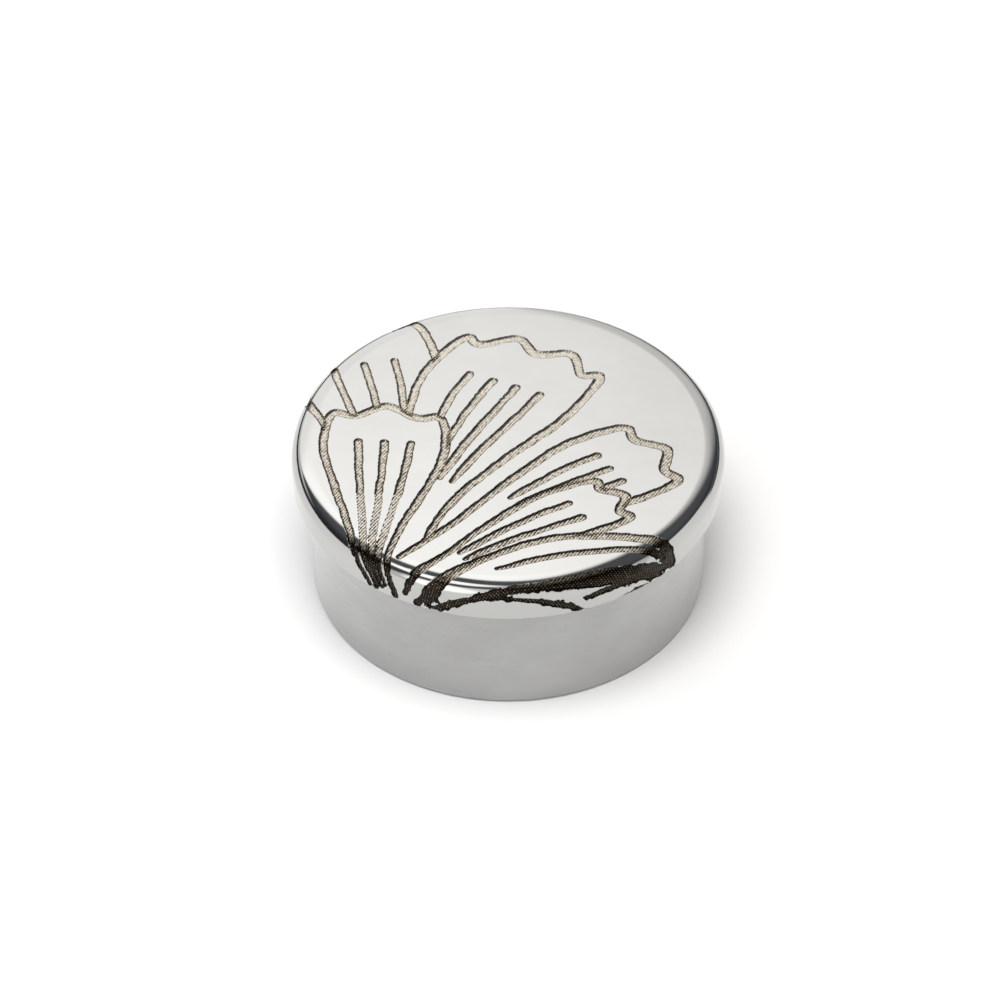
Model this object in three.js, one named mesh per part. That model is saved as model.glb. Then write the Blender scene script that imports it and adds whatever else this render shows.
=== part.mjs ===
// A round metal pill box: a straight-walled body with a flat base, and a slip-on lid whose skirt
// hangs over the body's rim. Millimetres, +Z up, origin at the centre of the underside.
// Every piece is a solid of revolution about Z.
import * as THREE from "three";

// Driving dimensions.
const LID_DIAMETER = 45;
const BOX_HEIGHT = 17.7;
const SKIRT_HEIGHT = 4.1;
const SKIRT_WALL = 1.7;
const LID_PLATE = 1.2;
const SLIP_CLEARANCE = 0.1;
const SEAT_GAP = 0.05;
const BODY_WALL = 1.2;
const BASE_THICKNESS = 1.2;

// Edge roundings.
const LID_TOP_RADIUS = 1.05;
const LID_INNER_RADIUS = 0.3;
const SKIRT_EDGE_RADIUS = 0.25;
const RIM_RADIUS = 0.4;
const FOOT_RADIUS = 0.65;

// Facets: steps round the axis, and half the steps along each rounded edge.
const TURN_STEPS = 96;
const ARC_DIVISIONS = 2;

const lidOuter = LID_DIAMETER / 2;
const lidInner = lidOuter - SKIRT_WALL;
const plateUnderside = BOX_HEIGHT - LID_PLATE;
const skirtBottom = BOX_HEIGHT - SKIRT_HEIGHT;
const bodyOuter = lidInner - SLIP_CLEARANCE;
const bodyInner = bodyOuter - BODY_WALL;
const rimTop = plateUnderside - SEAT_GAP;

const EAST = 0;
const NORTH = Math.PI / 2;
const WEST = Math.PI;
const SOUTH = 1.5 * Math.PI;

const polishedMetal = new THREE.MeshStandardMaterial({ color: 0xd9d7d2, roughness: 0.18, metalness: 1 });
const satinMetal = new THREE.MeshStandardMaterial({ color: 0xc2bfb8, roughness: 0.32, metalness: 1 });

// Turns a profile of (radius, height) about the vertical axis. A rising line makes an outward face.
function revolve(profile) {
  const turned = new THREE.LatheGeometry(profile.getPoints(ARC_DIVISIONS), TURN_STEPS);
  return turned.rotateX(Math.PI / 2);
}

function piece(name, profile, material) {
  const mesh = new THREE.Mesh(revolve(profile), material);
  mesh.name = name;
  return mesh;
}

// From the middle of the plate's underside, out and down inside the skirt, and back over the top.
function lidProfile() {
  const profile = new THREE.Path();
  profile.moveTo(0, plateUnderside);
  profile.lineTo(lidInner - LID_INNER_RADIUS, plateUnderside);
  profile.absarc(
    lidInner - LID_INNER_RADIUS, plateUnderside - LID_INNER_RADIUS, LID_INNER_RADIUS, NORTH, EAST, true,
  );
  profile.lineTo(lidInner, skirtBottom + SKIRT_EDGE_RADIUS);
  profile.absarc(
    lidInner + SKIRT_EDGE_RADIUS, skirtBottom + SKIRT_EDGE_RADIUS, SKIRT_EDGE_RADIUS, WEST, SOUTH, false,
  );
  profile.lineTo(lidOuter - SKIRT_EDGE_RADIUS, skirtBottom);
  profile.absarc(
    lidOuter - SKIRT_EDGE_RADIUS, skirtBottom + SKIRT_EDGE_RADIUS, SKIRT_EDGE_RADIUS, SOUTH, 2 * Math.PI, false,
  );
  profile.lineTo(lidOuter, BOX_HEIGHT - LID_TOP_RADIUS);
  profile.absarc(
    lidOuter - LID_TOP_RADIUS, BOX_HEIGHT - LID_TOP_RADIUS, LID_TOP_RADIUS, EAST, NORTH, false,
  );
  profile.lineTo(0, BOX_HEIGHT);
  return profile;
}

// A tube: up the outside from its rounded foot, over the rim, down the inside and along the bottom.
function bodyWallProfile() {
  const profile = new THREE.Path();
  profile.moveTo(bodyOuter - FOOT_RADIUS, 0);
  profile.absarc(bodyOuter - FOOT_RADIUS, FOOT_RADIUS, FOOT_RADIUS, SOUTH, 2 * Math.PI, false);
  profile.lineTo(bodyOuter, rimTop - RIM_RADIUS);
  profile.absarc(bodyOuter - RIM_RADIUS, rimTop - RIM_RADIUS, RIM_RADIUS, EAST, NORTH, false);
  profile.lineTo(bodyInner + RIM_RADIUS, rimTop);
  profile.absarc(bodyInner + RIM_RADIUS, rimTop - RIM_RADIUS, RIM_RADIUS, NORTH, WEST, false);
  profile.lineTo(bodyInner, 0);
  profile.lineTo(bodyOuter - FOOT_RADIUS, 0);
  return profile;
}

// A flat disc let into the foot of the tube, flush with the ground.
function baseDiscProfile() {
  const profile = new THREE.Path();
  profile.moveTo(0, 0);
  profile.lineTo(bodyInner, 0);
  profile.lineTo(bodyInner, BASE_THICKNESS);
  profile.lineTo(0, BASE_THICKNESS);
  return profile;
}

const pillBox = new THREE.Group();
pillBox.add(
  piece("lid", lidProfile(), polishedMetal),
  piece("body_wall", bodyWallProfile(), satinMetal),
  piece("base_disc", baseDiscProfile(), satinMetal),
);

export default pillBox;
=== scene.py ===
"""A polished slip-lid pill box with an engraved flower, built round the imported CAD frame.

The lid is worked out on a flat map: its top, rounded edge and skirt unrolled into one disc. The
engraving is drawn on that map in millimetres, cut into the mesh, and rolled back onto the lid.
"""
import math

import bpy
import numpy as np
from mathutils import Matrix, Vector
from mathutils.geometry import delaunay_2d_cdt


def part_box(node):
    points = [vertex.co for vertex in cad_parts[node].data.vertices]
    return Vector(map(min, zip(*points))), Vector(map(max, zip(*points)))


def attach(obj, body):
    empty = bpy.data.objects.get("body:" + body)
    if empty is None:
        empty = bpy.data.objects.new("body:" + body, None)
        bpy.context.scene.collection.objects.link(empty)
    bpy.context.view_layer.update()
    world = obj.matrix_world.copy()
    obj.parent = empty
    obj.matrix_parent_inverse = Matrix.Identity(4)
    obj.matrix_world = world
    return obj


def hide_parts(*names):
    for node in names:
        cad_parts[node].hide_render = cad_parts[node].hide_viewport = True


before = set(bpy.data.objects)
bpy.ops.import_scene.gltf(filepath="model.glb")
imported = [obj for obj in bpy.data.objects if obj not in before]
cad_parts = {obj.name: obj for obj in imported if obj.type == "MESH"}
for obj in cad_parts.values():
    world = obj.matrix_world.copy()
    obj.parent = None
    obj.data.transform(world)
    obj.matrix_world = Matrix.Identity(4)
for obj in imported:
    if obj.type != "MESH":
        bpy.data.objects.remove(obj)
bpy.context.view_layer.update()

MM = 0.001
TURN = 2 * math.pi
RING_STEPS = 384
TURN_STEPS = 256
UV_NAME = "OFBake"

# Stand-ins for zero: where a division needs one, and how close points count as the same, in mm.
TINY = 1e-9
SAME = 1e-5
ON_RIM = 1e-4

# ---------------------------------------------------------------- sizes from the frame, in mm

lid_low, lid_high = [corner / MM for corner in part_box("lid")]
wall_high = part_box("body_wall")[1] / MM
disc_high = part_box("base_disc")[1] / MM

LID_RADIUS = lid_high.x
LID_TOP = lid_high.z
SKIRT_BOTTOM = lid_low.z
BODY_RADIUS = wall_high.x
RIM_TOP = wall_high.z
DISC_RADIUS = disc_high.x
DISC_TOP = disc_high.z

SKIRT_EDGE = 0.25
TUCK_FLAT = 0.3
SLIP_CLEARANCE = 0.1
SEAT_GAP = 0.05
LID_BORE = BODY_RADIUS + SLIP_CLEARANCE
PLATE_UNDERSIDE = RIM_TOP + SEAT_GAP
BORE_CORNER = 0.3
RIM_EDGE = 0.4
FOOT_EDGE = 0.65

# The lid's polished shoulder: how far it has turned down, in degrees, at shares of its length.
SHOULDER_LENGTH = 3.2
SHOULDER_TURN = [(0, 0), (0.17, 5), (0.28, 10), (0.38, 15), (0.51, 40), (0.585, 50), (1, 90)]
SHOULDER_STEPS = 96

shoulder_share = np.linspace(0, 1, SHOULDER_STEPS + 1)
shoulder_along = SHOULDER_LENGTH * shoulder_share
shoulder_turn = np.radians(np.interp(shoulder_share, *zip(*SHOULDER_TURN)))
shoulder_step = SHOULDER_LENGTH / SHOULDER_STEPS
shoulder_out = shoulder_step * (np.cumsum(np.cos(shoulder_turn)) - np.cos(shoulder_turn))
shoulder_down = shoulder_step * (np.cumsum(np.sin(shoulder_turn)) - np.sin(shoulder_turn))

# Where each stretch of the lid's outside ends on the map, as a distance from the map's centre.
FLAT_END = LID_RADIUS - shoulder_out[-1]
EDGE_END = FLAT_END + SHOULDER_LENGTH
SKIRT_END = EDGE_END + (LID_TOP - shoulder_down[-1]) - (SKIRT_BOTTOM + SKIRT_EDGE)
TUCK_END = SKIRT_END + SKIRT_EDGE * math.pi / 2
MAP_END = TUCK_END + TUCK_FLAT

# Where the cuts turn from the flat top's lighter patina to the near black of the edge and skirt, which is
# darker patina together with painted shade for the dark those curves mirror.
ROLLED_FROM = FLAT_END + 1.0
ROLLED_OVER = 0.7

# How dark the hatching's valleys are, as painted shade, from the lid's front to its back: (y on the map,
# shade).
VALLEY_SHADE = [(-16.8, 0.92), (11.2, 0.22)]

# ---------------------------------------------------------------- the engraving

# A cut: a slightly sunken lip outside its edge, a slanting wall inside it, then a hatched floor.
GROOVE_DEPTH = 0.15
WALL_WIDTH = 0.09
LIP_WIDTH = 0.08
LIP_DROP = 0.015
FLOOR_BLEND = 0.06

# The lines that the mesh follows along a cut: their distance from its edge, and their points' spacing.
CUT_LINES = [(LIP_WIDTH, 0.14), (0.0, 0.11), (-WALL_WIDTH, 0.13)]

# How far other points keep from those lines, and the loose grid on the plain flat.
POINT_MARGIN = 0.07
LATTICE_MARGIN = 0.06
LOOSE_STEP = 1.3
LOOSE_MARGIN = 0.4
EDGE_RINGS = 24
SKIRT_RINGS = 4

# The hatching's ridges, and a second set that crosses them where two cuts meet.
HATCH_PITCH = 0.284
HATCH_ANGLE = math.radians(57)
CROSS_ANGLE = math.radians(137)
HATCH_RELIEF = 0.03
HATCH_TEETH = 0.03
DOT_SHARPNESS = 0.35
CROSSING_REACH = 0.075

# The grid on which the drawing is measured, and the distance given to places far from any cut.
GRID_STEP = 0.05
GRID_MARGIN = 0.6
CLEAR_RIM = 0.15
STROKE_REACH = 0.8
FAR_OFF = 9.0

# Contours of the drawing that are kept: those with enough sides on the grid and enough points.
SMALLEST_CHAIN = 8
SMALLEST_LOOP = 4

# How a stroke strays from its line and varies in width: (amount, wavelength in mm) of each wave.
STRAYING = [(0.05, 1.3), (0.03, 0.4)]
UNEVENNESS = [(0.1, 2.5), (0.06, 0.35)]
TAPER = 0.12
SPAN_STEPS = 24

random = np.random.default_rng(7)


def length_along(points):
    """How far along a line each of its points lies."""
    return np.concatenate([[0], np.cumsum(np.hypot(*np.diff(points, axis=0).T))])


def evenly(points, along, places):
    """The places on a line that lie at the wanted distances along it."""
    return np.stack([np.interp(places, along, points[:, axis]) for axis in (0, 1)], 1)


def smooth_curve(points, step=0.06):
    """A Catmull-Rom curve through the points: evenly spaced positions, and how far along each is."""
    p = np.array(points, float)
    p = np.vstack([2 * p[0] - p[1], p, 2 * p[-1] - p[-2]])
    t = np.linspace(0, 1, SPAN_STEPS + 1)[:-1, None]
    spans = []
    for a, b, c, d in zip(p, p[1:], p[2:], p[3:]):
        spans.append(0.5 * (2 * b + (c - a) * t + (2 * a - 5 * b + 4 * c - d) * t ** 2
                            + (3 * b - a - 3 * c + d) * t ** 3))
    curve = np.vstack(spans + [p[-2:-1]])
    along = length_along(curve)
    places = np.linspace(0, along[-1], max(4, int(along[-1] / step)))
    return evenly(curve, along, places), places


def wander(along, waves):
    """Smooth noise along a stroke, summed from waves of (amount, wavelength)."""
    total = 0
    for amount, wavelength in waves:
        knots = random.uniform(-1, 1, int(along[-1] / wavelength) + 3)
        place = along / wavelength
        before = place.astype(int)
        share = place - before
        share = share * share * (3 - 2 * share)
        total = total + amount * (knots[before] * (1 - share) + knots[before + 1] * share)
    return total


class Stroke:
    """One cut line: where it runs, how wide it is, and where it breaks up into speckle.

    The ends are the width's shares at the two tips. The swell and the speckle are given as
    (share of the length, amount).
    """

    def __init__(self, points, width=0.92, ends=(1, 1), swell=None, speckle=None):
        centre, along = smooth_curve(points)
        share = along / along[-1]
        ahead = np.gradient(centre, axis=0)
        ahead /= np.hypot(*ahead.T)[:, None]
        side = np.stack([-ahead[:, 1], ahead[:, 0]], 1)
        self.centre = centre + side * wander(along, STRAYING)[:, None]
        size = 1 + wander(along, UNEVENNESS)
        taper = np.interp(share, [0, TAPER, 1 - TAPER, 1], [ends[0], 1, 1, ends[1]])
        if swell:
            taper = taper * np.interp(share, *zip(*swell))
        self.radius = width / 2 * size * taper
        self.speckle = np.interp(share, *zip(*speckle)) if speckle else np.zeros_like(share)


# Where a rib breaks up into speckle on its way down to the petal's root, as shares of its length.
FADING = [(0, 0), (0.35, 0), (0.5, 0.75), (0.62, 0.9), (0.74, 0.4), (0.8, 0), (1, 0)]

# Half the width of a petal and of a leaf, as shares of their breadth, at shares of their length.
PETAL_HALF = [(0, 0.12), (0.25, 0.17), (0.5, 0.34), (0.72, 0.49), (0.88, 0.5)]
LEAF_HALF = [(0, 0.1), (0.25, 0.36), (0.55, 0.5), (0.85, 0.3), (1, 0)]

# How wide the strokes are along their length, as shares of their own width.
PETAL_SWELL = [(0, 0.7), (0.15, 0.85), (0.5, 1.05), (0.85, 0.9), (1, 0.7)]
LEAF_SWELL = [(0, 1.1), (0.3, 0.9), (1, 1.2)]
LEAF_SHADE = [(0, 0.6), (0.4, 0.9), (0.65, 1.8), (0.85, 1.9), (1, 0.6)]
GRASS_SWELL = [(0, 1.4), (0.4, 0.5), (0.8, 1.3), (1, 0.6)]

# A petal's ribs start near its rim and spread across it; its rim is a low arch with small bumps.
RIB_START = 0.8
RIB_STEPS = 4
RIB_SPREAD = 0.66
RIB_WIDTH = 0.86
RIM_ARCH = 0.1
RIM_BUMP = 0.028
RIM_DIP = -0.02


class Blade:
    """A petal's or leaf's own directions: along it from root to tip, and across it to the left."""

    def __init__(self, root, tip, breadth, bend, halves):
        self.root = np.array(root, float)
        self.length = np.array(tip, float) - self.root
        ahead = self.length / np.hypot(*self.length)
        self.breadth = np.array([-ahead[1], ahead[0]]) * breadth
        self.bend = bend
        self.halves = halves

    def at(self, share, side):
        """The place at a share of the length, and a share of the breadth to the left of the middle."""
        return self.root + self.length * share + self.breadth * (side + self.bend * share * (1 - share))

    def line(self, shares, side):
        """A line that keeps its place between the edges, at -1 and 1."""
        return [self.at(share, side * float(np.interp(share, *zip(*self.halves)))) for share in shares]

    def edge(self, side):
        """The left edge at 1 or the right edge at -1, from root to tip."""
        return self.line([share for share, half in self.halves], side)


def petal(root, tip, breadth, bend, frills, ribs, rib_end=0.36, width=0.96, **rib_style):
    """A petal with a frilled rim and evenly spread lines inside it: its outline and its strokes."""
    blade = Blade(root, tip, breadth, bend, PETAL_HALF)
    shares = [RIB_START - (RIB_START - rib_end) * step / RIB_STEPS for step in range(RIB_STEPS + 1)]
    line = blade.edge(1) + rim(blade, frills) + blade.edge(-1)[::-1]
    strokes = [Stroke(line, width, swell=PETAL_SWELL)]
    for rib in range(ribs):
        side = RIB_SPREAD * (1 - 2 * (rib + 0.5) / ribs)
        strokes.append(Stroke(blade.line(shares, side), RIB_WIDTH * width, ends=(1.05, 0.6), **rib_style))
    return smooth_curve(line)[0], strokes


def rim(blade, frills):
    """Round the tip from the left edge to the right: a bump for every frill, and dips between them."""
    start, half = blade.halves[-1]
    places = []
    for step in range(1, 2 * frills):
        turn = math.pi * step / (2 * frills)
        bump = RIM_BUMP if step % 2 else RIM_DIP
        places.append(blade.at(start + RIM_ARCH * math.sin(turn) + bump, half * math.cos(turn)))
    return places


def bloom():
    """A flower's petals, which fan out from its foot, from the one furthest back to the one in front."""
    yield petal((-10.5, -17.0), (-17.0, 19.5), 15.0, -0.25, frills=3, ribs=3)
    yield petal((-11.5, -18.0), (4.0, 15.0), 16.5, 0.5, frills=4, ribs=4, width=1.02)
    yield petal((-10.4, -18.5), (16.2, -1.6), 10.8, 0.45, frills=3, ribs=3, rib_end=0.45, width=1.0)
    yield petal((-11.0, -22.4), (11.8, -8.6), 7.4, 0.7, frills=3, ribs=2, rib_end=0.3, width=0.98)
    yield petal((-14.6, -21.8), (-12.6, 5.4), 12.5, -0.1, frills=3, ribs=3, rib_end=0.06, width=0.95,
                speckle=FADING)


def leaf(root, tip, breadth, bend):
    """A pointed leaf with a midrib and a broad, shaded lower edge."""
    blade = Blade(root, tip, breadth, bend, LEAF_HALF)
    strokes = [
        Stroke(blade.edge(1), 1.0, swell=LEAF_SWELL),
        Stroke(blade.edge(-1), 1.0, swell=LEAF_SHADE),
        Stroke(blade.line((0.3, 0.5, 0.75, 0.92), 0.2), 0.8, ends=(0.6, 0.9)),
    ]
    return smooth_curve(blade.edge(1) + blade.edge(-1)[::-1])[0], strokes


def grass():
    """Thin blades down the skirt."""
    return [
        Stroke([(-9.2, -24.4), (-4.0, -22.9), (2.6, -23.3), (9.4, -24.4)], 0.6, swell=GRASS_SWELL),
        Stroke([(8.4, -22.7), (11.6, -20.9), (14.4, -19.6), (17.4, -18.6)], 0.8, ends=(0.6, 0.7)),
        Stroke([(12.4, -22.9), (14.6, -21.2), (16.4, -19.9)], 0.5, ends=(0.5, 0.5)),
    ]


def drawing():
    """Every layer from back to front: an outline that hides what lies behind it, and strokes."""
    yield from bloom()
    yield leaf((-9.0, -23.6), (18.7, -17.0), 6.4, 1.4)
    yield None, grass()


class Field:
    """Values on a square grid over the map, read anywhere by blending the four nearest."""

    def __init__(self, values):
        self.values = values

    @staticmethod
    def axis():
        reach = MAP_END + GRID_MARGIN
        return np.arange(-reach, reach, GRID_STEP)

    def at(self, points):
        axis = self.axis()
        place = (points - axis[0]) / GRID_STEP
        i = np.clip(place.astype(int), 0, len(axis) - 2)
        f = np.clip(place - i, 0, 1)
        (x, y), (fx, fy) = i.T, f.T
        v = self.values
        low = v[y, x] * (1 - fx) + v[y, x + 1] * fx
        high = v[y + 1, x] * (1 - fx) + v[y + 1, x + 1] * fx
        return low * (1 - fy) + high * fy

    def slope_y(self):
        return Field(np.gradient(self.values, GRID_STEP, axis=0))


def wave(points, angle):
    """1 on the crests and -1 in the valleys of ridges that run along the angle."""
    across = points[..., 1] * math.cos(angle) - points[..., 0] * math.sin(angle)
    return np.cos(TURN * across / HATCH_PITCH)


def within(outline, axis):
    """Which places on the grid lie inside a closed outline."""
    found = np.zeros((len(axis), len(axis)), bool)
    ends = np.roll(outline, -1, axis=0)
    for row, y in enumerate(axis):
        cut = (outline[:, 1] > y) != (ends[:, 1] > y)
        p, q = outline[cut], ends[cut]
        crossings = p[:, 0] + (y - p[:, 1]) / (q[:, 1] - p[:, 1]) * (q[:, 0] - p[:, 0])
        found[row] = np.searchsorted(np.sort(crossings), axis) % 2 == 1
    return found


def stroke_distance(stroke, axis):
    """Distance to one stroke's edge, negative inside, and its speckle, on the grid's window round it."""
    reach = stroke.radius.max() + STROKE_REACH
    low = np.clip(((stroke.centre.min(0) - reach - axis[0]) / GRID_STEP).astype(int), 0, len(axis))
    high = np.clip(((stroke.centre.max(0) + reach - axis[0]) / GRID_STEP).astype(int), 0, len(axis))
    window = (slice(low[1], high[1]), slice(low[0], high[0]))
    xs, ys = axis[window[1]], axis[window[0]]
    best = np.full((len(ys), len(xs)), FAR_OFF)
    speckle = np.zeros_like(best)
    for (cx, cy), radius, amount in zip(stroke.centre, stroke.radius, stroke.speckle):
        i0, i1 = np.searchsorted(xs, (cx - reach, cx + reach))
        j0, j1 = np.searchsorted(ys, (cy - reach, cy + reach))
        near = (slice(j0, j1), slice(i0, i1))
        gap = np.hypot(xs[None, i0:i1] - cx, ys[j0:j1, None] - cy) - radius
        speckle[near] = np.where(gap < best[near], amount, speckle[near])
        best[near] = np.minimum(best[near], gap)
    return window, best, speckle


def engraving_fields():
    """Grids of the distance to the nearest cut's edge, to the second nearest cut's, and of speckle."""
    axis = Field.axis()
    nearest = np.full((len(axis), len(axis)), FAR_OFF)
    second = nearest.copy()
    speckle = np.zeros_like(nearest)
    for outline, strokes in drawing():
        if outline is not None:
            hidden = within(outline, axis)
            nearest[hidden] = second[hidden] = FAR_OFF
        for stroke in strokes:
            window, gap, amount = stroke_distance(stroke, axis)
            speckle[window] = np.where(gap < nearest[window], amount, speckle[window])
            second[window] = np.minimum(second[window], np.maximum(nearest[window], gap))
            nearest[window] = np.minimum(nearest[window], gap)
    places = np.stack(np.meshgrid(axis, axis), -1)
    teeth = HATCH_TEETH * wave(places, HATCH_ANGLE)
    out = np.hypot(places[..., 0], places[..., 1])
    nearest = np.maximum(nearest + teeth, out - (MAP_END - CLEAR_RIM))
    return Field(nearest), Field(second), Field(speckle)


# Which sides of a grid cell a contour joins, for each set of its corners that lie inside. The corners
# count 1, 2, 4 and 8, anticlockwise from the lower left.
CELL_SIDES = {
    1: ["down left"], 2: ["down right"], 3: ["left right"], 4: ["right up"], 6: ["down up"], 7: ["left up"],
    8: ["left up"], 9: ["down up"], 11: ["right up"], 12: ["left right"], 13: ["down right"],
    14: ["down left"], 5: ["down left", "right up"], 10: ["down right", "left up"],
}


def side_links(inside):
    """Which sides of the grid's cells a contour joins; upright sides are numbered after the level ones."""
    code = inside[:-1, :-1] * 1 + inside[:-1, 1:] * 2 + inside[1:, 1:] * 4 + inside[1:, :-1] * 8
    cols = inside.shape[1]
    links = {}
    for case, pairs in CELL_SIDES.items():
        row, col = np.nonzero(code == case)
        corner = row * cols + col
        upright = corner + inside.size
        side = {"down": corner, "up": corner + cols, "left": upright, "right": upright + 1}
        for pair in pairs:
            one, other = pair.split()
            for p, q in zip(side[one].tolist(), side[other].tolist()):
                links.setdefault(p, []).append(q)
                links.setdefault(q, []).append(p)
    return links


def side_crossings(sides, values):
    """Where the value 0 lies on each of the numbered sides."""
    axis = Field.axis()
    rows, cols = values.shape
    sides = np.array(sides)
    upright = sides >= values.size
    corner = np.where(upright, sides - values.size, sides)
    row, col = corner // cols, corner % cols
    start = values[row, col]
    above = values[np.minimum(row + 1, rows - 1), col]
    beside = values[row, np.minimum(col + 1, cols - 1)]
    end = np.where(upright, above, beside)
    share = start / (start - end)
    x = axis[0] + (col + np.where(upright, 0, share)) * GRID_STEP
    y = axis[0] + (row + np.where(upright, share, 0)) * GRID_STEP
    return np.stack([x, y], 1)


def chains(links):
    """Follows the links from side to side until each loop is done, and gives every loop's sides."""
    while links:
        chain = [next(iter(links))]
        step = chain[0]
        while step is not None:
            options = links.pop(chain[-1])
            step = next((side for side in options if side in links), None)
            if step is not None:
                chain.append(step)
        yield chain


def contours(field, level, spacing):
    """The closed lines where the field has one value, as evenly spaced points."""
    values = field.values - level
    values = np.where(values == 0, TINY, values)
    loops = []
    for chain in chains(side_links(values < 0)):
        if len(chain) < SMALLEST_CHAIN:
            continue
        line = side_crossings(chain, values)
        closed = np.vstack([line, line[:1]])
        along = length_along(closed)
        count = int(along[-1] / spacing)
        if count >= SMALLEST_LOOP:
            loops.append(evenly(closed, along, np.linspace(0, along[-1], count + 1)[:-1]))
    return loops


# ---------------------------------------------------------------- the lid's outside

def on_lid(points):
    """Places and outward directions on the lid's outside for points on the map, in mm."""
    far = np.maximum(np.hypot(*points.T), TINY)
    ahead = points / far[:, None]
    past = far - FLAT_END
    turn = np.interp(past, shoulder_along, shoulder_turn)
    tuck = np.clip((far - SKIRT_END) / SKIRT_EDGE, 0, math.pi / 2)
    fall = np.clip(far - EDGE_END, 0, SKIRT_END - EDGE_END)
    inward = np.clip(far - TUCK_END, 0, None)
    radius = (np.minimum(far, FLAT_END) + np.interp(past, shoulder_along, shoulder_out)
              - SKIRT_EDGE * (1 - np.cos(tuck)) - inward)
    height = LID_TOP - np.interp(past, shoulder_along, shoulder_down) - fall - SKIRT_EDGE * np.sin(tuck)
    lean = turn + tuck
    place = np.column_stack([ahead * radius[:, None], height])
    out = np.column_stack([ahead * np.sin(lean)[:, None], np.cos(lean)])
    return place, out


def ring_points(distance):
    """Evenly spaced points round the map's centre."""
    angle = TURN * np.arange(RING_STEPS) / RING_STEPS
    return distance * np.stack([np.cos(angle), np.sin(angle)], 1)


def plain_points(field):
    """Rings round the edge and skirt and a loose grid on the flat, all clear of the cuts."""
    rings = np.concatenate([
        np.linspace(FLAT_END, EDGE_END, EDGE_RINGS + 1),
        np.linspace(EDGE_END, SKIRT_END, SKIRT_RINGS + 1)[1:],
        np.linspace(SKIRT_END, TUCK_END, SKIRT_RINGS + 1)[1:],
    ])
    round_rings = np.vstack([ring_points(distance) for distance in rings])
    loose = np.arange(-FLAT_END, FLAT_END, LOOSE_STEP)
    grid = np.stack(np.meshgrid(loose, loose), -1).reshape(-1, 2)
    grid = grid[np.hypot(*grid.T) < FLAT_END - LOOSE_MARGIN]
    points = np.vstack([round_rings, grid])
    return points[field.at(points) > LIP_WIDTH + POINT_MARGIN]


def floor_points(field):
    """A lattice inside the cuts, with a row on each crest and in each valley of the hatching."""
    half = HATCH_PITCH / 2
    opening = math.sin(CROSS_ANGLE - HATCH_ANGLE)
    step = half / opening
    along = step * np.array([math.cos(HATCH_ANGLE), math.sin(HATCH_ANGLE)])
    across = step * np.array([math.cos(CROSS_ANGLE), math.sin(CROSS_ANGLE)])
    count = int(1.5 * MAP_END / step)
    i, j = np.meshgrid(np.arange(-count, count), np.arange(-count, count))
    points = (i[..., None] * along + j[..., None] * across).reshape(-1, 2)
    points = points[np.abs(points).max(1) < MAP_END]
    return points[field.at(points) < -WALL_WIDTH - LATTICE_MARGIN]


def map_triangles(field):
    """The map's vertices and triangles, with edges along the lip, edge and foot of every cut."""
    parts, edges, count = [], [], 0
    loops = [ring_points(MAP_END)]
    for level, spacing in CUT_LINES:
        loops += contours(field, level, spacing)
    for loop in loops:
        size = len(loop)
        parts.append(loop)
        edges += [(count + k, count + (k + 1) % size) for k in range(size)]
        count += size
    parts += [plain_points(field), floor_points(field)]
    wanted = [Vector(point) for point in np.vstack(parts).tolist()]
    made = delaunay_2d_cdt(wanted, edges, [], 0, SAME, False)
    return np.array([point.to_tuple() for point in made[0]]), np.array(made[2])


def lid_outside(field, second, speckle):
    """The lid's outer skin: vertices on the map and in space, outward directions, triangles and looks."""
    flat, triangles = map_triangles(field)
    gap, breaks = field.at(flat), speckle.at(flat)
    crossed = np.clip(0.5 - second.at(flat) / (2 * CROSSING_REACH), 0, 1)
    hatch, cross = wave(flat, HATCH_ANGLE), wave(flat, CROSS_ANGLE)
    floor = np.clip((-gap - WALL_WIDTH) / FLOOR_BLEND, 0, 1)
    dots = np.clip(0.5 + DOT_SHARPNESS * (hatch + cross), 0, 1)
    depth = np.interp(gap, [-WALL_WIDTH, 0, LIP_WIDTH], [GROOVE_DEPTH, LIP_DROP, 0])
    depth -= floor * HATCH_RELIEF * (hatch + crossed * cross)
    depth *= 1 - breaks * floor * dots
    place, out = on_lid(flat)
    # The third number of 'cut' is the painted front-to-back shade; 'side' holds where the edge and skirt turn
    # over and the cuts' slope towards the back, which the material uses for more painted shade.
    looks = {
        "map": np.column_stack([flat, gap]),
        "cut": np.column_stack([crossed, breaks, valley_shade(flat)]),
        "side": np.column_stack([rolled_over(flat), field.slope_y().at(flat), np.zeros(len(flat))]),
    }
    return flat, place - depth[:, None] * out, out, triangles, looks


def vertex_normals(points, triangles):
    """Each vertex's normal, from the triangles that meet there, weighted by their areas."""
    a, b, c = (points[triangles[:, k]] for k in range(3))
    face = np.cross(b - a, c - a)
    total = np.zeros_like(points)
    for k in range(3):
        np.add.at(total, triangles[:, k], face)
    return total / np.maximum(np.linalg.norm(total, axis=1), TINY)[:, None]


# ---------------------------------------------------------------- turned shapes

def arc(centre, radius, start, end, steps):
    """Points and outward normals of (radius, height) along an arc, angles in degrees."""
    angle = np.radians(np.linspace(start, end, steps + 1))
    normal = np.stack([np.cos(angle), np.sin(angle)], 1)
    return np.array(centre) + radius * normal, normal


def straight(start, end, normal, steps=1):
    """Points and outward normals along a straight line."""
    t = np.linspace(0, 1, steps + 1)[:, None]
    points = np.array(start) * (1 - t) + np.array(end) * t
    return points, np.tile(np.array(normal, float), (steps + 1, 1))


def joined(*stretches):
    """One profile from stretches, keeping a single point where two of them meet."""
    points, normals = [stretches[0][0]], [stretches[0][1]]
    for p, n in stretches[1:]:
        points.append(p[1:])
        normals.append(n[1:])
    return np.vstack(points), np.vstack(normals)


def strip_layout(profile, low, high):
    """Lays a turned surface out as one strip: round it across, along the profile upwards."""
    along = length_along(profile)
    v = low + (high - low) * along / along[-1]
    return lambda band, end, share: (share, v[band + end])


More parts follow.
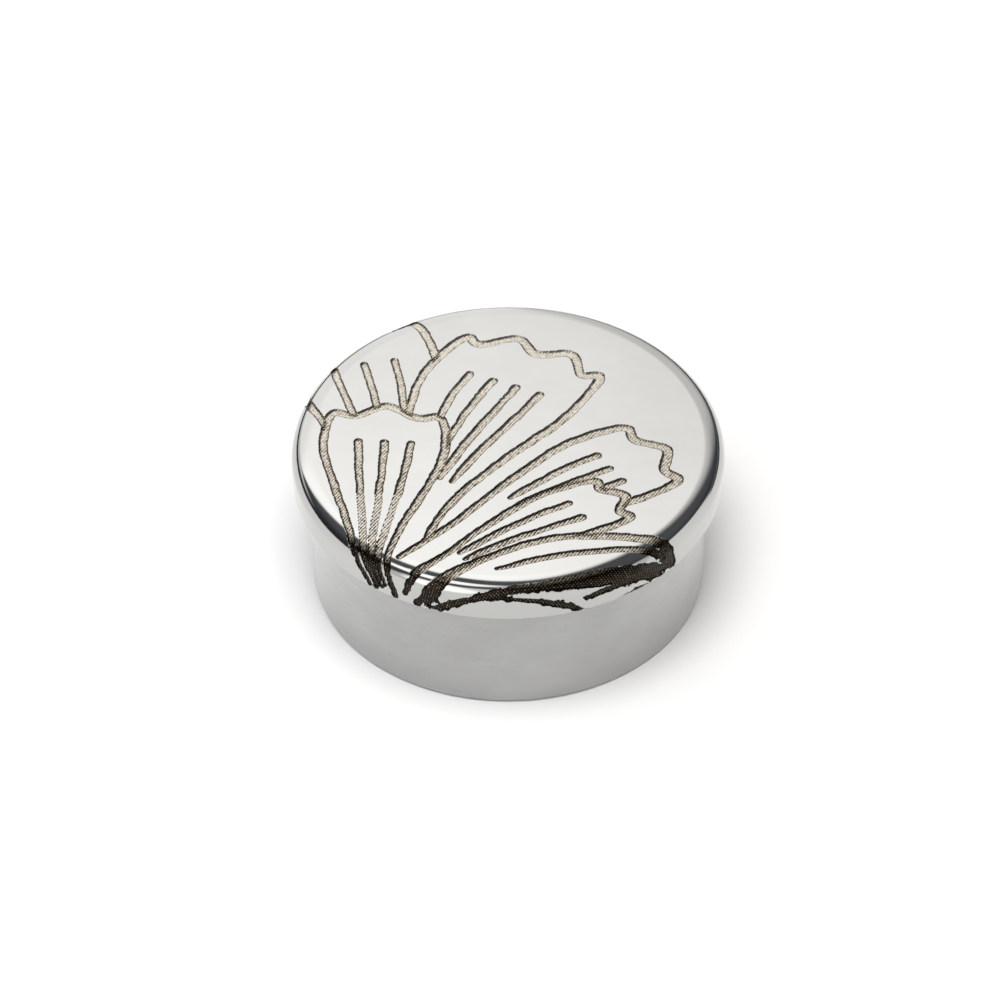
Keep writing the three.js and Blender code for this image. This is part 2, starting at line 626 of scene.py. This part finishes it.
def disc_layout(profile, centre, radius):
    """Lays a turned surface out as a disc, from the profile's start on the axis to its far end."""
    along = length_along(profile)
    far = radius * along / along[-1]

    def place(band, end, share):
        reach = far[band + end]
        return centre[0] + reach * math.cos(TURN * share), centre[1] + reach * math.sin(TURN * share)

    return place


class Draft:
    """Vertices, normals, faces and texture places, gathered before a mesh is made."""

    def __init__(self):
        self.points = []
        self.normals = []
        self.faces = []
        self.uvs = []

    def add_points(self, points, normals):
        start = len(self.points)
        self.points += [tuple(p) for p in points]
        self.normals += [tuple(n) for n in normals]
        return list(range(start, len(self.points)))

    def add_ring(self, radius, height, normal, steps):
        """A ring round the axis, whose normal is (outwards, upwards); on the axis it is one vertex."""
        if radius < SAME:
            return self.add_points([(0, 0, height)], [(0, 0, math.copysign(1, normal[1]))]) * steps
        angle = TURN * np.arange(steps) / steps
        x, y, level = np.cos(angle), np.sin(angle), np.ones(steps)
        return self.add_points(np.stack([radius * x, radius * y, height * level], 1),
                               np.stack([normal[0] * x, normal[0] * y, normal[1] * level], 1))

    def add_face(self, corners, uvs):
        """A face with each corner once: a ring that is a single point gives the same corner twice."""
        kept = [i for i, c in enumerate(corners) if c not in corners[:i]]
        self.faces.append([corners[i] for i in kept])
        self.uvs += [uvs[i] for i in kept]

    def add_bands(self, rings, layout):
        """Joins each ring to the next; a profile that rises gives faces that look outwards."""
        for band, (low, high) in enumerate(zip(rings, rings[1:])):
            steps = len(low)
            for k in range(steps):
                m = (k + 1) % steps
                here, there = k / steps, (k + 1) / steps
                self.add_face([low[k], low[m], high[m], high[k]],
                              [layout(band, 0, here), layout(band, 0, there),
                               layout(band, 1, there), layout(band, 1, here)])

    def piece(self, name, material, looks=None):
        """The finished object; looks are numbers for its material, three for each vertex."""
        mesh = bpy.data.meshes.new(name)
        mesh.from_pydata((np.array(self.points) * MM).tolist(), [], self.faces)
        mesh.uv_layers.new(name=UV_NAME)
        mesh.uv_layers[UV_NAME].data.foreach_set("uv", np.array(self.uvs, np.float32).ravel())
        mesh.polygons.foreach_set("use_smooth", [True] * len(mesh.polygons))
        for label, values in (looks or {}).items():
            layer = mesh.attributes.new(label, "FLOAT_VECTOR", "POINT")
            layer.data.foreach_set("vector", np.asarray(values, np.float32).ravel())
        mesh.materials.append(material)
        mesh.update()
        mesh.normals_split_custom_set_from_vertices(self.normals)
        piece = bpy.data.objects.new(name, mesh)
        bpy.context.scene.collection.objects.link(piece)
        return piece


def turned_piece(name, profile, normals, closed, layout, material):
    """A piece turned from a profile; a closed profile ends on its own first ring."""
    draft = Draft()
    rings = [draft.add_ring(r, z, n, TURN_STEPS) for (r, z), n in zip(profile, normals)]
    if closed:
        rings[-1] = rings[0]
    draft.add_bands(rings, layout)
    return draft.piece(name, material)


# ---------------------------------------------------------------- the three pieces

# Where a surface lies on its piece's texture square: (centre, radius) of a disc.
OUTSIDE_LAYOUT = ((0.425, 0.425), 0.42)
INSIDE_LAYOUT = ((0.875, 0.875), 0.115)
UNDERSIDE_LAYOUT = ((0.25, 0.5), 0.24)
COMPARTMENT_LAYOUT = ((0.75, 0.5), 0.24)

# The looks of the lid's inside, which has no cuts.
UNCUT = {"map": (0, 0, FAR_OFF), "cut": (0, 0, 0), "side": (0, 0, 0)}
PLAIN_MARGIN = 0.005
SPECKLED = 0.2

# Fine lines turned into the wall just below the lid, and the rings left by spinning the base.
TURNED_LINES = [SKIRT_BOTTOM - drop for drop in (1.95, 2.25, 2.6, 3.05)]
TURNED_DEPTH = 0.015
TURNED_WIDTH = 0.05
SPUN_PITCH = 0.9
SPUN_DEPTH = 0.006
SPUN_MARGIN = 1.0
CHAMFER = 0.08
DISC_GAP = 0.01

# Steps along the profiles' stretches.
WALL_STEPS = 240
SPUN_STEPS = 160
UNDERSIDE_STEPS = 60
PLATE_STEPS = 8
BORE_STEPS = 3
CORNER_STEPS = 4
FOOT_STEPS = 10
RIM_STEPS = 6


def engraved_lid(material):
    """The engraved outside and the turned inside, joined along one ring under the skirt."""
    flat, points, out, triangles, looks = lid_outside(*engraving_fields())
    draft = Draft()
    draft.add_points(points, lid_normals(points, out, triangles, looks))
    centre, radius = OUTSIDE_LAYOUT
    uv = np.array(centre) + radius / MAP_END * flat
    for triangle in triangles.tolist():
        draft.add_face(triangle, [tuple(uv[corner]) for corner in triangle])

    profile, directions = lid_inside()
    rings = [draft.add_ring(r, z, n, RING_STEPS) for (r, z), n in zip(profile[:-1], directions[:-1])]
    rings.append(outer_ring(flat))
    draft.add_bands(rings, disc_layout(profile, *INSIDE_LAYOUT))
    inner = len(draft.points) - len(flat)
    for label, values in looks.items():
        looks[label] = np.vstack([values, np.tile(UNCUT[label], (inner, 1))])
    return draft.piece("engraved_lid", material, looks)


def lid_normals(points, out, triangles, looks):
    """True normals in the cuts, and the lid's own smooth ones on plain metal and in the speckle."""
    normals = vertex_normals(points, triangles)
    gap, breaks = looks["map"][:, 2], looks["cut"][:, 1]
    plain = (gap > LIP_WIDTH - PLAIN_MARGIN) | (breaks > SPECKLED)
    normals[plain] = out[plain]
    return normals


def lid_inside():
    """From the middle of the plate's underside, down the bore and out under the skirt to the map's rim."""
    last = LID_RADIUS - SKIRT_EDGE - (MAP_END - TUCK_END)
    skirt_foot = SKIRT_BOTTOM + SKIRT_EDGE
    corner = (LID_BORE - BORE_CORNER, PLATE_UNDERSIDE - BORE_CORNER)
    return joined(
        straight((0, PLATE_UNDERSIDE), (LID_BORE - BORE_CORNER, PLATE_UNDERSIDE), (0, -1), PLATE_STEPS),
        arc(corner, -BORE_CORNER, 270, 180, CORNER_STEPS),
        straight((LID_BORE, PLATE_UNDERSIDE - BORE_CORNER), (LID_BORE, skirt_foot), (-1, 0), BORE_STEPS),
        arc((LID_BORE + SKIRT_EDGE, skirt_foot), SKIRT_EDGE, 180, 270, CORNER_STEPS),
        straight((LID_BORE + SKIRT_EDGE, SKIRT_BOTTOM), (last, SKIRT_BOTTOM), (0, -1)),
    )


def outer_ring(flat):
    """The map's rim vertices in order of angle, starting on +X."""
    rim = np.nonzero(np.hypot(*flat.T) > MAP_END - ON_RIM)[0]
    angle = np.arctan2(flat[rim, 1], flat[rim, 0]) % TURN
    angle[angle > TURN - ON_RIM] = 0
    return rim[np.argsort(angle)].tolist()


def rolled_over(flat):
    """0 on the lid's flat top, 1 from where its shoulder has turned well over."""
    return np.clip((np.hypot(*flat.T) - ROLLED_FROM) / ROLLED_OVER, 0, 1)


def valley_shade(flat):
    """How dark the painted shade in the hatching's valleys is: faint at the back, strong at the front."""
    return np.interp(flat[:, 1], *zip(*VALLEY_SHADE))


def turning_grooves(height):
    """How far the wall is cut in by the fine lines turned into it just below the lid."""
    depth = 0
    for line in TURNED_LINES:
        depth = depth + TURNED_DEPTH * np.exp(-((height - line) / TURNED_WIDTH) ** 2)
    return depth


def wall_outside():
    """The wall's straight outside with the fine lines in it, from the foot to the rim."""
    points, _ = straight((BODY_RADIUS, FOOT_EDGE), (BODY_RADIUS, RIM_TOP - RIM_EDGE), (1, 0), WALL_STEPS)
    height = points[:, 1]
    points[:, 0] -= turning_grooves(height)
    slope = np.gradient(points[:, 0], height)
    return points, np.stack([np.ones_like(slope), -slope], 1) / np.hypot(1, slope)[:, None]


def body_wall(material):
    """A tube with a rounded foot and a rounded rim, open at the bottom for the base."""
    profile, normals = joined(
        arc((BODY_RADIUS - FOOT_EDGE, FOOT_EDGE), FOOT_EDGE, 270, 360, FOOT_STEPS),
        wall_outside(),
        arc((BODY_RADIUS - RIM_EDGE, RIM_TOP - RIM_EDGE), RIM_EDGE, 0, 90, RIM_STEPS),
        straight((BODY_RADIUS - RIM_EDGE, RIM_TOP), (DISC_RADIUS + RIM_EDGE, RIM_TOP), (0, 1)),
        arc((DISC_RADIUS + RIM_EDGE, RIM_TOP - RIM_EDGE), RIM_EDGE, 90, 180, RIM_STEPS),
        straight((DISC_RADIUS, RIM_TOP - RIM_EDGE), (DISC_RADIUS, 0), (-1, 0), CORNER_STEPS),
        straight((DISC_RADIUS, 0), (BODY_RADIUS - FOOT_EDGE, 0), (0, -1)),
    )
    layout = strip_layout(profile, 0.01, 0.99)
    return turned_piece("turned_wall", profile, normals, True, layout, material)


def base_disc(material):
    """A disc with a small chamfer and faint spun rings inside, let into the wall's foot."""
    edge = DISC_RADIUS - DISC_GAP
    flat = edge - CHAMFER
    slant = math.sqrt(0.5)
    under = joined(
        straight((0, 0), (flat, 0), (0, -1), UNDERSIDE_STEPS),
        straight((flat, 0), (edge, CHAMFER), (slant, -slant)),
        straight((edge, CHAMFER), (edge, DISC_TOP / 2), (1, 0)),
    )
    spun, upwards = straight((flat, DISC_TOP), (0, DISC_TOP), (0, 1), SPUN_STEPS)
    radius = spun[:, 0]
    ringed = radius < edge - SPUN_MARGIN
    spun[:, 1] -= SPUN_DEPTH * (1 - np.cos(TURN * radius / SPUN_PITCH)) * ringed
    over = joined(
        straight((edge, DISC_TOP / 2), (edge, DISC_TOP - CHAMFER), (1, 0)),
        straight((edge, DISC_TOP - CHAMFER), (flat, DISC_TOP), (slant, slant)),
        (spun, upwards),
    )
    profile, normals = joined(under, over)
    bands = len(under[0]) - 1
    lower = disc_layout(under[0], *UNDERSIDE_LAYOUT)
    upper = disc_layout(over[0][::-1], *COMPARTMENT_LAYOUT)
    last = len(profile) - 2

    def layout(band, end, share):
        return lower(band, end, share) if band < bands else upper(last - band, 1 - end, share)

    return turned_piece("spun_base", profile, normals, False, layout, material)


# ---------------------------------------------------------------- materials

class Nodes:
    """A node tree, with short calls for adding nodes and joining them."""

    def __init__(self, tree):
        self.tree = tree

    def node(self, kind, settings=None, **inputs):
        """Adds a node; an input is named by its label, or by i and its number."""
        made = self.tree.nodes.new(kind)
        for key, value in (settings or {}).items():
            setattr(made, key, value)
        for key, value in inputs.items():
            self.feed(made.inputs[int(key[1:]) if key[1:].isdigit() else key.replace("_", " ")], value)
        return made

    def feed(self, socket, value):
        """Joins a socket to an input, or sets the input to a plain value."""
        if isinstance(value, bpy.types.NodeSocket):
            self.tree.links.new(value, socket)
        else:
            socket.default_value = value

    def sum(self, *values):
        return self.chain("ADD", values)

    def product(self, *values):
        return self.chain("MULTIPLY", values)

    def chain(self, operation, values):
        total = values[0]
        for value in values[1:]:
            total = self.node("ShaderNodeMath", {"operation": operation}, i0=total, i1=value).outputs[0]
        return total

    def ranged(self, value, low, high, to_low=0.0, to_high=1.0, kind="LINEAR"):
        made = self.node("ShaderNodeMapRange", {"interpolation_type": kind}, Value=value, From_Min=low,
                         From_Max=high, To_Min=to_low, To_Max=to_high)
        return made.outputs[0]

    def smooth(self, value, low, high, to_low=0.0, to_high=1.0):
        return self.ranged(value, low, high, to_low, to_high, "SMOOTHSTEP")

    def ramp(self, value, stops):
        """A colour ramp from stops of (position, (red, green, blue))."""
        made = self.node("ShaderNodeValToRGB", Fac=value)
        points = made.color_ramp.elements
        while len(points) < len(stops):
            points.new(0.5)
        for point, (position, colour) in zip(points, stops):
            point.position = position
            point.color = (*colour, 1)
        return made.outputs[0]

    def blend(self, factor, a, b):
        made = self.node("ShaderNodeMix", {"data_type": "RGBA"}, i0=factor, i6=a, i7=b)
        return made.outputs[2]

    def blend_value(self, factor, a, b):
        return self.node("ShaderNodeMix", {"data_type": "FLOAT"}, i0=factor, i2=a, i3=b).outputs[0]


class Shader(Nodes):
    """A material's nodes, with the textures that these materials share."""

    def __init__(self, name):
        self.material = bpy.data.materials.new(name)
        self.material.use_nodes = True
        super().__init__(self.material.node_tree)
        self.surface = next(n for n in self.tree.nodes if n.type == "BSDF_PRINCIPLED")

    def parts(self, attribute):
        """The three numbers that the mesh carries under one name."""
        stored = self.node("ShaderNodeAttribute", {"attribute_name": attribute})
        return self.node("ShaderNodeSeparateXYZ", Vector=stored.outputs["Vector"]).outputs

    def place(self):
        return self.node("ShaderNodeTexCoord").outputs["Object"]

    def stretched(self, x, y, z):
        return self.node("ShaderNodeMapping", Vector=self.place(), Scale=(x, y, z)).outputs[0]

    def noise(self, vector, scale, detail=3.0, roughness=0.55):
        made = self.node("ShaderNodeTexNoise", Vector=vector, Scale=scale, Detail=detail, Roughness=roughness)
        return made.outputs["Fac"]

    def bump(self, height, distance):
        return self.node("ShaderNodeBump", Height=height, Distance=distance).outputs[0]

    def finish(self, **inputs):
        for key, value in inputs.items():
            self.feed(self.surface.inputs[key.replace("_", " ")], value)
        return self.material


# The patina in the cuts, with painted shade at its darkest end, from its deepest to where it is worn away,
# and the metals' two close tones.
PATINA_AND_SHADE = [
    (0.0, (0.010, 0.0085, 0.007)),
    (0.3, (0.092, 0.066, 0.042)),
    (0.65, (0.365, 0.315, 0.245)),
    (1.0, (0.71, 0.67, 0.585)),
]
BARE_METAL = [(0.3, (0.508, 0.505, 0.494)), (0.7, (0.533, 0.53, 0.519))]
# The wall's tones are a darker copy of the same pewter: painted shade that offsets the bright floor the wall
# mirrors.
SHADED_WALL_METAL = [(0.3, (0.348, 0.346, 0.340)), (0.7, (0.393, 0.391, 0.384))]
BASE_METAL = [(0.3, (0.56, 0.555, 0.54)), (0.7, (0.62, 0.615, 0.60))]
SPECK = (0.09, 0.085, 0.08, 1)
FLOOR_PAINT = [(0.3, (0.80, 0.80, 0.80)), (0.7, (0.82, 0.82, 0.82))]


def ridges(s, x, y, angle, jitter):
    """0 in the valleys and 1 on the crests of the hatching that runs along one angle of the map."""
    turns = TURN / HATCH_PITCH
    across = s.sum(s.product(y, turns * math.cos(angle)), s.product(x, -turns * math.sin(angle)), jitter)
    return s.ranged(s.node("ShaderNodeMath", {"operation": "COSINE"}, i0=across).outputs[0], -1, 1)


def hatching(s, pits, crossed, rolled, shade):
    """The hatching's crests, its dots where two sets cross, and how bright it leaves the cuts' floors:
    painted shade darkens them towards the front, and patina with painted shade on the edge and skirt.
    """
    x, y, _ = s.parts("map")
    jitter = s.product(pits, 1.2)
    crest = ridges(s, x, y, HATCH_ANGLE, jitter)
    dots = s.product(crest, ridges(s, x, y, CROSS_ANGLE, jitter))
    broken = s.ranged(s.noise(s.place(), 2600.0, detail=1.0), 0.35, 0.65, 0.4, 1.15)
    plain = s.sum(1.0, s.product(s.sum(crest, -1.0), shade, broken))
    tone = s.blend_value(crossed, plain, s.sum(0.08, s.product(dots, 0.9)))
    return crest, dots, s.blend_value(rolled, tone, s.sum(s.product(dots, dots, 0.6), -0.08))


def polished_metal():
    """Mirror-polished pewter, bare on the surface and darkened with patina and painted shade in the cuts."""
    s = Shader("polished_engraved_pewter")
    gap = s.parts("map")[2]
    crossed, breaks, shade = s.parts("cut")
    rolled, uphill, _ = s.parts("side")
    cloud = s.noise(s.place(), 90.0)
    pits = s.ranged(s.noise(s.place(), 5000.0, detail=2.0), 0.3, 0.7, -0.5, 0.5)
    crest, dots, tone = hatching(s, pits, crossed, rolled, shade)

    # The patina with painted shade: its tone on the floors, and darker still towards the ragged foot of the
    # walls, where the dark band is painted shade as much as patina: wider on each cut's far wall, darker
    # towards the lid's front, near black on the edge and skirt.
    ragged = s.sum(gap, s.product(pits, 0.16), s.product(crest, -0.07), s.product(uphill, 0.03))
    wall = s.smooth(ragged, -0.16, -0.07)
    deep = s.blend_value(rolled, s.ranged(shade, 0.2, 0.9, 0.85, 0.32), 0.03)
    stain_and_shade = s.product(s.sum(tone, s.product(pits, 0.5)), s.ranged(wall, 0, 1, 1, deep))

    # Bare metal: outside the cuts, but for what spilt over on the skirt, and on the speckle's tips.
    blotches = s.ranged(s.noise(s.place(), 1100.0, detail=1.5), 0.45, 0.7, 0.0, -0.28)
    surface = s.smooth(s.sum(gap, s.product(pits, 0.06), s.product(rolled, blotches)), -0.014, 0.004)
    sparkle = s.smooth(s.sum(dots, s.product(breaks, 0.8), s.product(pits, 0.5)), 0.95, 1.15)
    bare = s.chain("MAXIMUM", (surface, s.product(sparkle, s.smooth(breaks, 0.05, 0.3))))
    return s.finish(
        Base_Color=s.blend(bare, s.ramp(stain_and_shade, PATINA_AND_SHADE), s.ramp(cloud, BARE_METAL)),
        Metallic=1.0,
        Roughness=s.blend_value(bare, 0.32, s.ranged(cloud, 0.3, 0.7, 0.08, 0.11)),
        Normal=s.bump(cloud, 0.00002),
    )


def satin_metal():
    """The same metal on the wall, polished on the lathe, so its fine marks run round it; its tones are
    darkened as painted shade.
    """
    s = Shader("lathe_polished_pewter")
    rings = s.noise(s.stretched(6, 6, 2600), 1.0, detail=4.0)
    cloud = s.noise(s.stretched(1, 1, 2), 160.0)
    specks = s.smooth(s.noise(s.place(), 1900.0, detail=1.0), 0.74, 0.8, 0, 0.35)
    marks = s.bump(s.sum(rings, s.product(cloud, 2.0)), 0.000005)
    return s.finish(
        Base_Color=s.blend(specks, s.ramp(cloud, SHADED_WALL_METAL), SPECK),
        Metallic=1.0,
        Roughness=s.ranged(rings, 0.3, 0.7, 0.18, 0.3),
        Normal=marks,
        Coat_Weight=1.0,
        Coat_Roughness=0.2,
        Coat_Normal=marks,
    )


def spun_metal():
    """The base: satin metal with fine concentric marks from the lathe."""
    s = Shader("spun_pewter")
    place = s.node("ShaderNodeSeparateXYZ", Vector=s.place())
    flat = s.node("ShaderNodeCombineXYZ", X=place.outputs[0], Y=place.outputs[1])
    radius = s.node("ShaderNodeVectorMath", {"operation": "LENGTH"}, Vector=flat.outputs[0]).outputs["Value"]
    rings = s.noise(s.node("ShaderNodeCombineXYZ", X=radius).outputs[0], 4200.0, detail=4.0)
    return s.finish(
        Base_Color=s.ramp(s.noise(s.place(), 140.0), BASE_METAL),
        Metallic=1.0,
        Roughness=s.ranged(rings, 0.3, 0.7, 0.28, 0.4),
        Normal=s.bump(rings, 0.000004),
    )


def plaster():
    """The pale floor's matt surface."""
    s = Shader("pale_floor")
    paint = s.ramp(s.noise(s.place(), 9.0), FLOOR_PAINT)
    return s.finish(Base_Color=paint, Roughness=0.9, Specular_IOR_Level=0.1)


# ---------------------------------------------------------------- stage, light and camera

FLOOR_REACH = 2500
FLOOR_DROP = 0.02
FLOOR_STEPS = 96

# How bright the studio is, and the directions from the box to its lamps.
DOME_STRENGTH = 1.95
CEILING_LAMP = (-0.33, -0.09, 0.94)
LOW_WINDOW = (-0.505, -0.809, 0.3)

# The light on what the metal mirrors: bluer where it is dim.
DOME_TINT = [(0.0, (0.85, 0.92, 1.0)), (0.3, (1.0, 0.99, 0.97)), (1.0, (1.0, 1.0, 0.995))]


def floor():
    """A wide round floor, a hair below the box."""
    draft = Draft()
    rings = [draft.add_ring(radius, -FLOOR_DROP, (0, 1), FLOOR_STEPS) for radius in (FLOOR_REACH, 0)]
    draft.add_bands(rings, lambda band, end, share: (share, float(end)))
    made = draft.piece("studio_floor", plaster())


def back_panel(n, x, y, z):
    """A soft panel overhead and behind, which fades to the right; its near edge bends back at the sides.

    It is laid out on a ceiling one unit above the box: across to the right, and behind the box.
    """
    rise = n.chain("MAXIMUM", (z, 0.05))
    across = n.chain("DIVIDE", (x, rise))
    behind = n.chain("DIVIDE", (y, rise))
    left = n.ranged(across, -1.2, 0, 1.2, 0)
    right = n.ranged(across, 0.03, 0.15)
    edge = n.sum(0.57, n.product(left, 0.58), n.product(right, 0.32), n.ranged(across, 0.15, 1.1, 0, 0.9))
    softness = n.sum(0.08, n.product(right, 0.28))
    inward = n.chain("DIVIDE", (n.chain("SUBTRACT", (behind, edge)), softness))
    far_left = n.smooth(z, 0.17, 0.33, 0, 0.6)
    return n.product(
        n.smooth(inward, -1, 1),
        n.ranged(behind, 1.03, 1.19, 0.94, 0.7),
        n.smooth(across, -1.25, -0.7, far_left, 1),
        n.smooth(across, -0.02, 0.16, 1, 0.68),
        n.smooth(across, 0.3, 1.2, 1, 0.15),
        n.smooth(z, 0.02, 0.12),
    )


def round_lamp(n, toward, direction, edge, core):
    """A soft round lamp that starts where the cosine of the angle from its middle reaches the edge."""
    facing = n.node("ShaderNodeVectorMath", {"operation": "DOT_PRODUCT"}, i0=toward, i1=direction)
    return n.smooth(facing.outputs["Value"], edge, core)


def dim_walls(n, x, y, z):
    """A grey card in front and one on the right, the room in front, and the ceiling's faint glow."""
    aside = n.node("ShaderNodeMath", {"operation": "ABSOLUTE"}, i0=x).outputs[0]
    front_card = n.product(n.smooth(y, -0.62, -0.76, 0, 0.55), n.smooth(aside, 0.4, 0.6, 1, 0))
    right_card = n.product(n.smooth(x, 0.87, 0.94, 0, 0.55), n.smooth(z, 0.45, 0.3))
    front_room = n.product(n.smooth(y, -0.1, -0.4), n.smooth(z, 0.5, 0.3, 0, 0.4))
    return front_card, right_card, front_room, n.smooth(z, 0.15, 0.9, 0.02, 0.065)


def studio_dome():
    """What the metal mirrors; behind the box itself the camera sees plain white."""
    world = bpy.data.worlds.new("studio_dome")
    bpy.context.scene.world = world
    world.use_nodes = True
    world.node_tree.nodes.clear()
    n = Nodes(world.node_tree)
    toward = n.node("ShaderNodeTexCoord").outputs["Generated"]
    x, y, z = n.node("ShaderNodeSeparateXYZ", Vector=toward).outputs
    level = n.chain("MAXIMUM", (
        back_panel(n, x, y, z),
        round_lamp(n, toward, CEILING_LAMP, 0.91, 0.99),
        round_lamp(n, toward, LOW_WINDOW, 0.9, 0.98),
        *dim_walls(n, x, y, z),
    ))
    strength = n.product(level, DOME_STRENGTH)
    lit = n.node("ShaderNodeBackground", Color=n.ramp(level, DOME_TINT), Strength=strength).outputs[0]
    seen = n.node("ShaderNodeBackground", Color=(1, 1, 1, 1), Strength=1.0).outputs[0]
    from_camera = n.node("ShaderNodeLightPath").outputs["Is Camera Ray"]
    mixed = n.node("ShaderNodeMixShader", i0=from_camera, i1=lit, i2=seen)
    n.node("ShaderNodeOutputWorld", Surface=mixed.outputs[0])


def floor_lamp(name, kind, place, power, colour, **settings):
    """A soft light aimed at the box that lights the floor but doesn't show in the metal."""
    data = bpy.data.lights.new(name, kind)
    data.energy = power
    data.color = colour
    for key, value in settings.items():
        setattr(data, key, value)
    lamp = bpy.data.objects.new(name, data)
    lamp.location = Vector(place) * MM
    lamp.rotation_euler = lamp.location.to_track_quat("Z", "Y").to_euler()
    lamp.visible_camera = False
    lamp.visible_glossy = False
    bpy.context.scene.collection.objects.link(lamp)


CAMERA_ELEVATION = math.radians(42.56)
CAMERA_ROLL = math.radians(0.46)
CAMERA_DISTANCE = 22.1 * LID_RADIUS
AIM_HEIGHT = 0.39 * LID_RADIUS
AIM_LEFT = 0.0388 * LID_RADIUS
AIM_UP = 0.0205 * LID_RADIUS
SENSOR = 36.0
LENS = 0.2142 * CAMERA_DISTANCE / LID_RADIUS * SENSOR


def photographer():
    """The camera in front of the box and well above it, with a long lens and a slight roll."""
    back = Vector((0, -math.cos(CAMERA_ELEVATION), math.sin(CAMERA_ELEVATION)))
    level = Vector((1, 0, 0))
    upright = back.cross(level)
    right = level * math.cos(CAMERA_ROLL) - upright * math.sin(CAMERA_ROLL)
    up = back.cross(right)
    aim = Vector((0, 0, AIM_HEIGHT)) - level * AIM_LEFT + upright * AIM_UP
    data = bpy.data.cameras.new("camera")
    data.sensor_width = SENSOR
    data.lens = LENS
    data.clip_start = 0.01
    data.clip_end = 20
    camera = bpy.data.objects.new("camera", data)
    camera.matrix_world = Matrix((right, up, back)).transposed().to_4x4()
    camera.location = (aim + back * CAMERA_DISTANCE) * MM
    bpy.context.scene.collection.objects.link(camera)
    bpy.context.scene.camera = camera


def put(piece, body, node):
    """Fixes a piece to its body, in the place of its CAD node."""
    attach(piece, body)
    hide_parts(node)


photographer()
studio_dome()
floor_lamp("key", "AREA", (-380, -160, 620), 0.45, (0.72, 0.87, 1.0), size=0.33)
floor_lamp("overhead", "SUN", (0, -200, 880), 2.5, (1.0, 0.985, 0.96), angle=math.radians(40))
floor()
put(engraved_lid(polished_metal()), "lid", "lid")
put(body_wall(satin_metal()), "body", "body_wall")
put(base_disc(spun_metal()), "body", "base_disc")
bpy.context.scene.view_settings.view_transform = "Standard"
